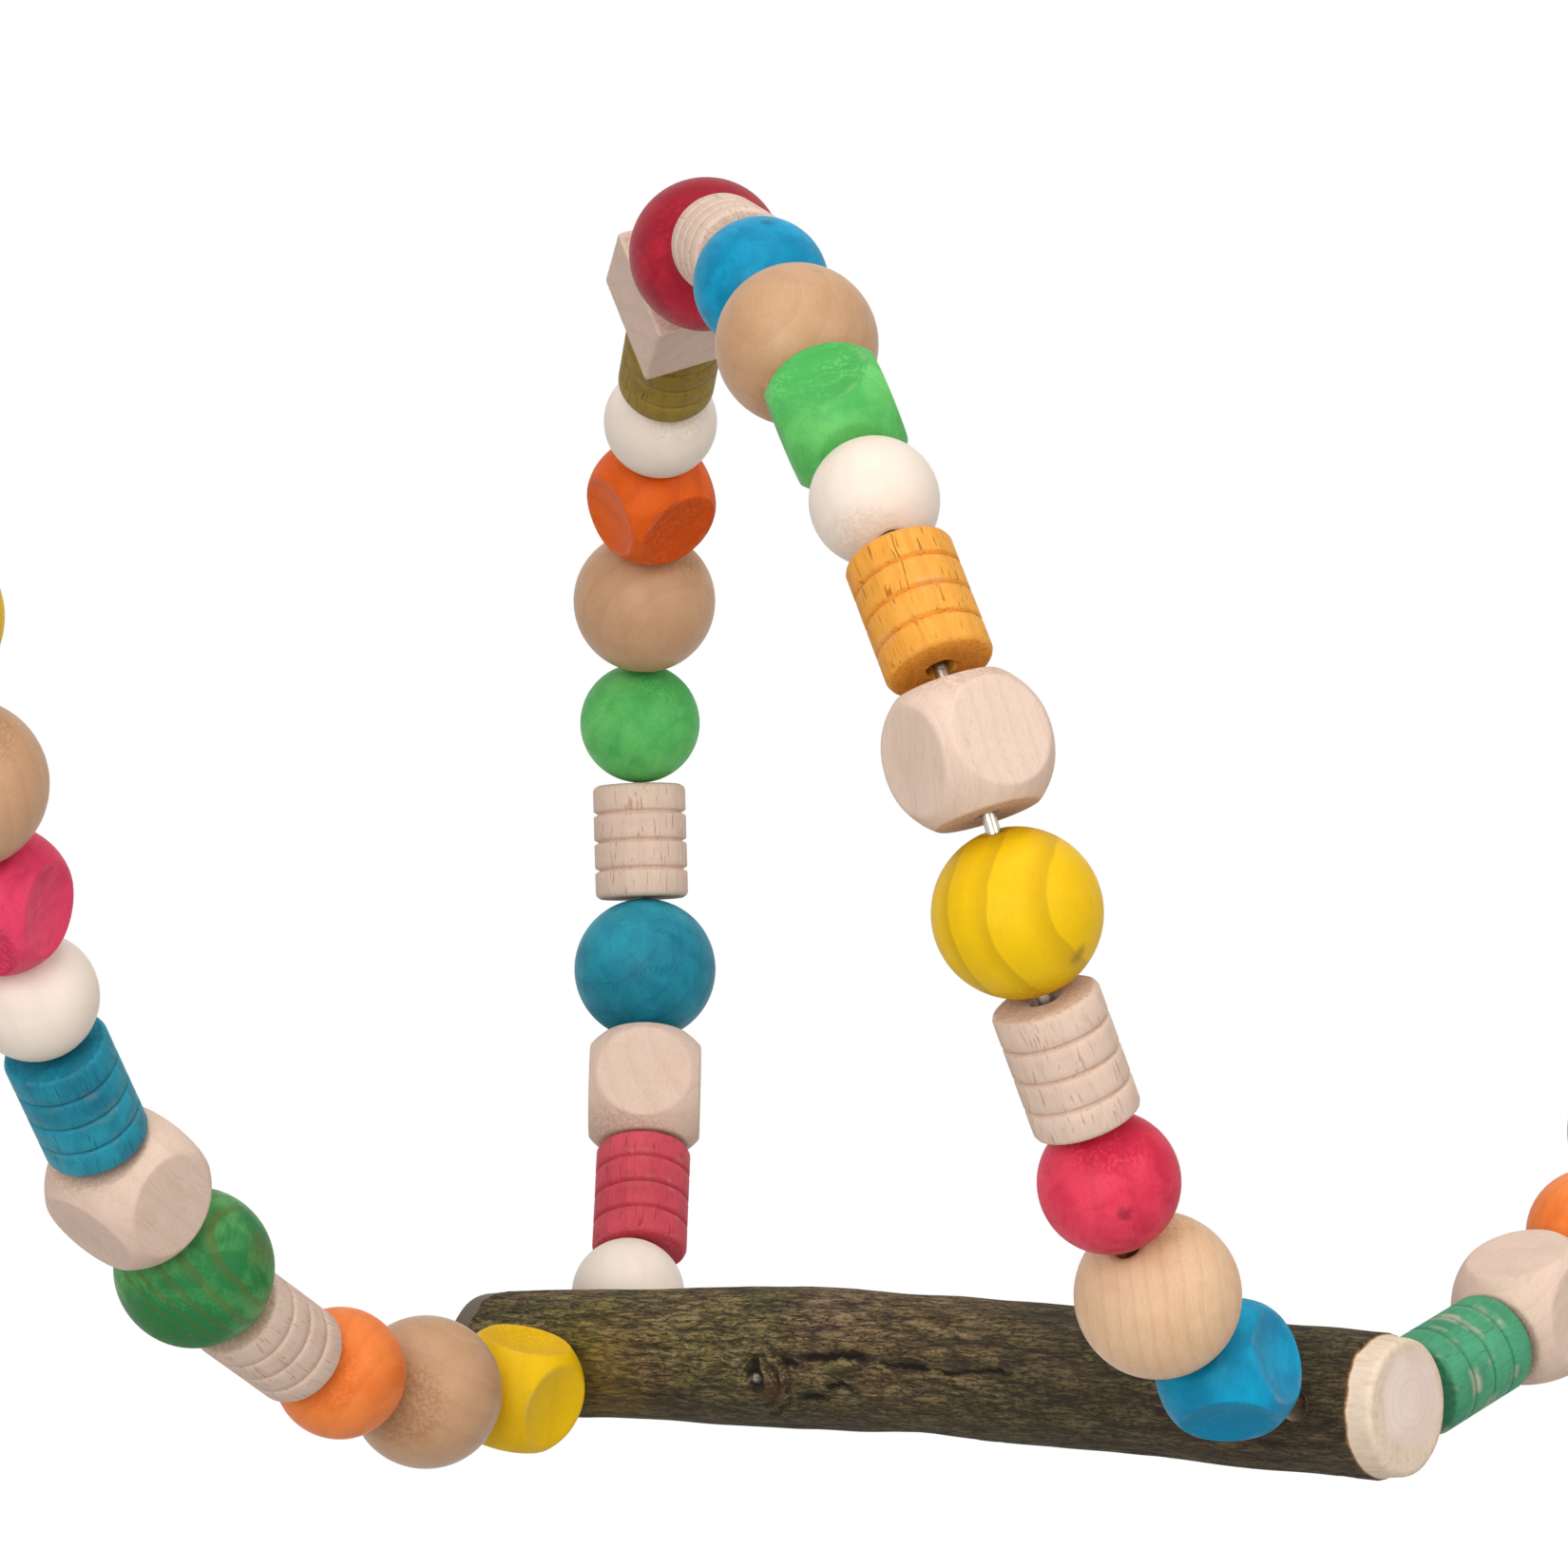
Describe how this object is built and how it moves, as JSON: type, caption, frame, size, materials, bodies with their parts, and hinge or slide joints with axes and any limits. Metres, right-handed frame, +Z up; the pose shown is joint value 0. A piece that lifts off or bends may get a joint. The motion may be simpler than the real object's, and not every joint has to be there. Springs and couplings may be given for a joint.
{
  "type": "bird swing",
  "caption": "Bird swing: a stiff wire strung with turned wooden beads loops over a branch perch and hangs by its eyes from a pair of quick links.",
  "frame": {"origin": "where a cage bar bears on the left link, under the top of its bow", "axes": "+X from the left link to the right one, +Y to the back, +Z up"},
  "size_m": [0.3542, 0.2449, 0.2596],
  "materials": {
    "wood_natural": "satin",
    "wood_white": "satin",
    "wood_tan": "satin",
    "wood_maple": "satin",
    "wood_yellow": "satin",
    "wood_orange": "satin",
    "wood_deep_orange": "satin",
    "wood_amber": "satin",
    "wood_olive": "satin",
    "wood_teal": "satin",
    "wood_blue": "satin",
    "wood_green": "satin",
    "wood_dark_green": "satin",
    "wood_sea_green": "satin",
    "wood_red": "satin",
    "wood_rose": "satin",
    "wood_pink": "satin",
    "wood_hot_pink": "satin",
    "bark": "rough",
    "wire_steel": "bright drawn",
    "link_steel": "bright zinc"
  },
  "bodies": {
    "hanging_links": {"left_link": "link_steel", "right_link": "link_steel"},
    "frame": {"frame_wire": "wire_steel", "perch": "bark"},
    "left_sleeve": {"left_link_sleeve": "link_steel"},
    "right_sleeve": {"right_link_sleeve": "link_steel"},
    "left_bead_01": {"left_bead_01": "wood_yellow"},
    "left_bead_02": {"left_bead_02": "wood_tan"},
    "left_bead_03": {"left_bead_03": "wood_orange"},
    "left_bead_04": {"left_bead_04": "wood_natural"},
    "left_bead_05": {"left_bead_05": "wood_dark_green"},
    "left_bead_06": {"left_bead_06": "wood_natural"},
    "left_bead_07": {"left_bead_07": "wood_teal"},
    "left_bead_08": {"left_bead_08": "wood_white"},
    "left_bead_09": {"left_bead_09": "wood_pink"},
    "left_bead_10": {"left_bead_10": "wood_tan"},
    "left_bead_11": {"left_bead_11": "wood_yellow"},
    "left_bead_12": {"left_bead_12": "wood_natural"},
    "left_bead_13": {"left_bead_13": "wood_orange"},
    "left_bead_14": {"left_bead_14": "wood_natural"},
    "left_bead_15": {"left_bead_15": "wood_tan"},
    "left_bead_16": {"left_bead_16": "wood_green"},
    "loop_bead_01": {"loop_bead_01": "wood_white"},
    "loop_bead_02": {"loop_bead_02": "wood_rose"},
    "loop_bead_03": {"loop_bead_03": "wood_natural"},
    "loop_bead_04": {"loop_bead_04": "wood_teal"},
    "loop_bead_05": {"loop_bead_05": "wood_natural"},
    "loop_bead_06": {"loop_bead_06": "wood_green"},
    "loop_bead_07": {"loop_bead_07": "wood_tan"},
    "loop_bead_08": {"loop_bead_08": "wood_deep_orange"},
    "loop_bead_09": {"loop_bead_09": "wood_white"},
    "loop_bead_10": {"loop_bead_10": "wood_olive"},
    "loop_bead_11": {"loop_bead_11": "wood_natural"},
    "loop_bead_12": {"loop_bead_12": "wood_red"},
    "loop_bead_13": {"loop_bead_13": "wood_natural"},
    "loop_bead_14": {"loop_bead_14": "wood_blue"},
    "loop_bead_15": {"loop_bead_15": "wood_tan"},
    "loop_bead_16": {"loop_bead_16": "wood_green"},
    "loop_bead_17": {"loop_bead_17": "wood_white"},
    "loop_bead_18": {"loop_bead_18": "wood_amber"},
    "loop_bead_19": {"loop_bead_19": "wood_natural"},
    "loop_bead_20": {"loop_bead_20": "wood_yellow"},
    "loop_bead_21": {"loop_bead_21": "wood_natural"},
    "loop_bead_22": {"loop_bead_22": "wood_hot_pink"},
    "loop_bead_23": {"loop_bead_23": "wood_maple"},
    "loop_bead_24": {"loop_bead_24": "wood_blue"},
    "right_bead_01": {"right_bead_01": "wood_sea_green"},
    "right_bead_02": {"right_bead_02": "wood_natural"},
    "right_bead_03": {"right_bead_03": "wood_orange"},
    "right_bead_04": {"right_bead_04": "wood_tan"},
    "right_bead_05": {"right_bead_05": "wood_natural"},
    "right_bead_06": {"right_bead_06": "wood_teal"},
    "right_bead_07": {"right_bead_07": "wood_pink"},
    "right_bead_08": {"right_bead_08": "wood_olive"},
    "right_bead_09": {"right_bead_09": "wood_white"},
    "right_bead_10": {"right_bead_10": "wood_natural"},
    "right_bead_11": {"right_bead_11": "wood_red"},
    "right_bead_12": {"right_bead_12": "wood_green"},
    "right_bead_13": {"right_bead_13": "wood_natural"},
    "right_bead_14": {"right_bead_14": "wood_yellow"}
  },
  "joints": [
    {"name": "swing", "type": "hinge", "parent": "hanging_links", "child": "frame", "pos_m": [0, 0, -0.03575], "axis": [1, 0, 0], "range_deg": [-40, 40]},
    {"name": "left_sleeve_slide", "type": "slide", "parent": "hanging_links", "child": "left_sleeve", "axis": [0, 0, 1], "range_m": [-0.009, 0]},
    {"name": "right_sleeve_slide", "type": "slide", "parent": "hanging_links", "child": "right_sleeve", "axis": [0, 0, 1], "range_m": [-0.009, 0]},
    {"name": "left_bead_01_spin", "type": "hinge", "parent": "frame", "child": "left_bead_01", "pos_m": [0.10286, 0.03747, -0.24471], "axis": [0.6355, 0.7712, 0.0384], "continuous": true},
    {"name": "left_bead_02_spin", "type": "hinge", "parent": "frame", "child": "left_bead_02", "pos_m": [0.08878, 0.01944, -0.24363], "axis": [0.5761, 0.8086, -0.1196], "continuous": true},
    {"name": "left_bead_03_spin", "type": "hinge", "parent": "frame", "child": "left_bead_03", "pos_m": [0.07592, 0.00048, -0.23881], "axis": [0.5226, 0.7974, -0.3018], "continuous": true},
    {"name": "left_bead_04_spin", "type": "hinge", "parent": "frame", "child": "left_bead_04", "pos_m": [0.06545, -0.01587, -0.23087], "axis": [0.4723, 0.7588, -0.4484], "continuous": true},
    {"name": "left_bead_05_spin", "type": "hinge", "parent": "frame", "child": "left_bead_05", "pos_m": [0.05536, -0.03287, -0.21946], "axis": [0.4142, 0.7306, -0.5429], "continuous": true},
    {"name": "left_bead_06_spin", "type": "hinge", "parent": "frame", "child": "left_bead_06", "pos_m": [0.04659, -0.04912, -0.206], "axis": [0.3455, 0.6828, -0.6438], "continuous": true},
    {"name": "left_bead_07_spin", "type": "hinge", "parent": "frame", "child": "left_bead_07", "pos_m": [0.04002, -0.06298, -0.19109], "axis": [0.2719, 0.6165, -0.7389], "continuous": true},
    {"name": "left_bead_08_spin", "type": "hinge", "parent": "frame", "child": "left_bead_08", "pos_m": [0.03494, -0.07528, -0.17616], "axis": [0.2371, 0.6184, -0.7493], "continuous": true},
    {"name": "left_bead_09_spin", "type": "hinge", "parent": "frame", "child": "left_bead_09", "pos_m": [0.03085, -0.08832, -0.16151], "axis": [0.1633, 0.6933, -0.7019], "continuous": true},
    {"name": "left_bead_10_spin", "type": "hinge", "parent": "frame", "child": "left_bead_10", "pos_m": [0.02739, -0.1032, -0.14466], "axis": [0.1745, 0.5363, -0.8258], "continuous": true},
    {"name": "left_bead_11_spin", "type": "hinge", "parent": "frame", "child": "left_bead_11", "pos_m": [0.02137, -0.10913, -0.12082], "axis": [0.2722, -0.0673, -0.9599], "continuous": true},
    {"name": "left_bead_12_spin", "type": "hinge", "parent": "frame", "child": "left_bead_12", "pos_m": [0.01513, -0.10353, -0.09931], "axis": [0.2531, -0.3972, -0.8821], "continuous": true},
    {"name": "left_bead_13_spin", "type": "hinge", "parent": "frame", "child": "left_bead_13", "pos_m": [0.01033, -0.09244, -0.08199], "axis": [0.1964, -0.65, -0.7341], "continuous": true},
    {"name": "left_bead_14_spin", "type": "hinge", "parent": "frame", "child": "left_bead_14", "pos_m": [0.00685, -0.07654, -0.06857], "axis": [0.1374, -0.829, -0.5421], "continuous": true},
    {"name": "left_bead_15_spin", "type": "hinge", "parent": "frame", "child": "left_bead_15", "pos_m": [0.00396, -0.05675, -0.05761], "axis": [0.1165, -0.9042, -0.4108], "continuous": true},
    {"name": "left_bead_16_spin", "type": "hinge", "parent": "frame", "child": "left_bead_16", "pos_m": [0.00161, -0.03439, -0.05155], "axis": [0.0783, -0.995, -0.0618], "continuous": true},
    {"name": "loop_bead_01_spin", "type": "hinge", "parent": "frame", "child": "loop_bead_01", "pos_m": [0.12038, 0.07636, -0.23221], "axis": [0.1669, 0.8135, 0.5571], "continuous": true},
    {"name": "loop_bead_02_spin", "type": "hinge", "parent": "frame", "child": "loop_bead_02", "pos_m": [0.12225, 0.09048, -0.21734], "axis": [0.0187, 0.5455, 0.8379], "continuous": true},
    {"name": "loop_bead_03_spin", "type": "hinge", "parent": "frame", "child": "loop_bead_03", "pos_m": [0.12245, 0.1007, -0.1988], "axis": [0.0084, 0.4346, 0.9006], "continuous": true},
    {"name": "loop_bead_04_spin", "type": "hinge", "parent": "frame", "child": "loop_bead_04", "pos_m": [0.12208, 0.10927, -0.17761], "axis": [-0.0428, 0.3179, 0.9472], "continuous": true},
    {"name": "loop_bead_05_spin", "type": "hinge", "parent": "frame", "child": "loop_bead_05", "pos_m": [0.12092, 0.11435, -0.15525], "axis": [-0.0418, 0.0813, 0.9958], "continuous": true},
    {"name": "loop_bead_06_spin", "type": "hinge", "parent": "frame", "child": "loop_bead_06", "pos_m": [0.12062, 0.11265, -0.13415], "axis": [0.011, -0.2358, 0.9717], "continuous": true},
    {"name": "loop_bead_07_spin", "type": "hinge", "parent": "frame", "child": "loop_bead_07", "pos_m": [0.1213, 0.10304, -0.11282], "axis": [0.0427, -0.5597, 0.8276], "continuous": true},
    {"name": "loop_bead_08_spin", "type": "hinge", "parent": "frame", "child": "loop_bead_08", "pos_m": [0.12256, 0.088, -0.09557], "axis": [0.0695, -0.7301, 0.6798], "continuous": true},
    {"name": "loop_bead_09_spin", "type": "hinge", "parent": "frame", "child": "loop_bead_09", "pos_m": [0.1242, 0.07269, -0.08276], "axis": [0.0935, -0.7979, 0.5955], "continuous": true},
    {"name": "loop_bead_10_spin", "type": "hinge", "parent": "frame", "child": "loop_bead_10", "pos_m": [0.12621, 0.05599, -0.07187], "axis": [0.1055, -0.8665, 0.4879], "continuous": true},
    {"name": "loop_bead_11_spin", "type": "hinge", "parent": "frame", "child": "loop_bead_11", "pos_m": [0.12862, 0.03692, -0.06302], "axis": [0.1271, -0.9342, 0.3333], "continuous": true},
    {"name": "loop_bead_12_spin", "type": "hinge", "parent": "frame", "child": "loop_bead_12", "pos_m": [0.13212, 0.01507, -0.05846], "axis": [0.1771, -0.9809, 0.0805], "continuous": true},
    {"name": "loop_bead_13_spin", "type": "hinge", "parent": "frame", "child": "loop_bead_13", "pos_m": [0.13657, -0.00749, -0.05964], "axis": [0.2053, -0.9584, -0.1981], "continuous": true},
    {"name": "loop_bead_14_spin", "type": "hinge", "parent": "frame", "child": "loop_bead_14", "pos_m": [0.14105, -0.02697, -0.06618], "axis": [0.2209, -0.8898, -0.3993], "continuous": true},
    {"name": "loop_bead_15_spin", "type": "hinge", "parent": "frame", "child": "loop_bead_15", "pos_m": [0.1466, -0.04712, -0.07669], "axis": [0.2513, -0.8339, -0.4915], "continuous": true},
    {"name": "loop_bead_16_spin", "type": "hinge", "parent": "frame", "child": "loop_bead_16", "pos_m": [0.15248, -0.06557, -0.08877], "axis": [0.2612, -0.7794, -0.5695], "continuous": true},
    {"name": "loop_bead_17_spin", "type": "hinge", "parent": "frame", "child": "loop_bead_17", "pos_m": [0.15807, -0.08118, -0.10168], "axis": [0.2767, -0.6853, -0.6736], "continuous": true},
    {"name": "loop_bead_18_spin", "type": "hinge", "parent": "frame", "child": "loop_bead_18", "pos_m": [0.16452, -0.09347, -0.1181], "axis": [0.3169, -0.4452, -0.8375], "continuous": true},
    {"name": "loop_bead_19_spin", "type": "hinge", "parent": "frame", "child": "loop_bead_19", "pos_m": [0.17161, -0.10043, -0.13807], "axis": [0.308, -0.177, -0.9348], "continuous": true},
    {"name": "loop_bead_20_spin", "type": "hinge", "parent": "frame", "child": "loop_bead_20", "pos_m": [0.17899, -0.10122, -0.16139], "axis": [0.3053, 0.089, -0.9481], "continuous": true},
    {"name": "loop_bead_21_spin", "type": "hinge", "parent": "frame", "child": "loop_bead_21", "pos_m": [0.1865, -0.09704, -0.18263], "axis": [0.3454, 0.2845, -0.8943], "continuous": true},
    {"name": "loop_bead_22_spin", "type": "hinge", "parent": "frame", "child": "loop_bead_22", "pos_m": [0.19335, -0.089, -0.20081], "axis": [0.2977, 0.4762, -0.8275], "continuous": true},
    {"name": "loop_bead_23_spin", "type": "hinge", "parent": "frame", "child": "loop_bead_23", "pos_m": [0.20151, -0.07581, -0.21831], "axis": [0.4257, 0.6282, -0.6512], "continuous": true},
    {"name": "loop_bead_24_spin", "type": "hinge", "parent": "frame", "child": "loop_bead_24", "pos_m": [0.21315, -0.06026, -0.2307], "axis": [0.571, 0.7146, -0.404], "continuous": true},
    {"name": "right_bead_01_spin", "type": "hinge", "parent": "frame", "child": "right_bead_01", "pos_m": [0.25212, -0.01612, -0.23385], "axis": [0.6668, 0.6775, 0.3106], "continuous": true},
    {"name": "right_bead_02_spin", "type": "hinge", "parent": "frame", "child": "right_bead_02", "pos_m": [0.26559, -0.00174, -0.22585], "axis": [0.5947, 0.6773, 0.4331], "continuous": true},
    {"name": "right_bead_03_spin", "type": "hinge", "parent": "frame", "child": "right_bead_03", "pos_m": [0.2771, 0.01215, -0.2151], "axis": [0.4954, 0.6326, 0.5954], "continuous": true},
    {"name": "right_bead_04_spin", "type": "hinge", "parent": "frame", "child": "right_bead_04", "pos_m": [0.28728, 0.02604, -0.19924], "axis": [0.3903, 0.5693, 0.7236], "continuous": true},
    {"name": "right_bead_05_spin", "type": "hinge", "parent": "frame", "child": "right_bead_05", "pos_m": [0.29605, 0.03947, -0.18301], "axis": [0.381, 0.6143, 0.691], "continuous": true},
    {"name": "right_bead_06_spin", "type": "hinge", "parent": "frame", "child": "right_bead_06", "pos_m": [0.30439, 0.05466, -0.16812], "axis": [0.3454, 0.7145, 0.6084], "continuous": true},
    {"name": "right_bead_07_spin", "type": "hinge", "parent": "frame", "child": "right_bead_07", "pos_m": [0.3118, 0.07139, -0.1546], "axis": [0.3094, 0.7113, 0.6311], "continuous": true},
    {"name": "right_bead_08_spin", "type": "hinge", "parent": "frame", "child": "right_bead_08", "pos_m": [0.31857, 0.0836, -0.13697], "axis": [0.2765, 0.3428, 0.8978], "continuous": true},
    {"name": "right_bead_09_spin", "type": "hinge", "parent": "frame", "child": "right_bead_09", "pos_m": [0.32342, 0.08756, -0.11776], "axis": [0.1973, 0.0621, 0.9784], "continuous": true},
    {"name": "right_bead_10_spin", "type": "hinge", "parent": "frame", "child": "right_bead_10", "pos_m": [0.32685, 0.0859, -0.09791], "axis": [0.1484, -0.2352, 0.9605], "continuous": true},
    {"name": "right_bead_11_spin", "type": "hinge", "parent": "frame", "child": "right_bead_11", "pos_m": [0.32968, 0.07582, -0.07716], "axis": [0.0874, -0.5995, 0.7956], "continuous": true},
    {"name": "right_bead_12_spin", "type": "hinge", "parent": "frame", "child": "right_bead_12", "pos_m": [0.33094, 0.05883, -0.06114], "axis": [0.028, -0.8237, 0.5664], "continuous": true},
    {"name": "right_bead_13_spin", "type": "hinge", "parent": "frame", "child": "right_bead_13", "pos_m": [0.33134, 0.04019, -0.05136], "axis": [0.0039, -0.9483, 0.3172], "continuous": true},
    {"name": "right_bead_14_spin", "type": "hinge", "parent": "frame", "child": "right_bead_14", "pos_m": [0.33085, 0.01703, -0.04881], "axis": [-0.0334, -0.9986, 0.04], "continuous": true}
  ]
}
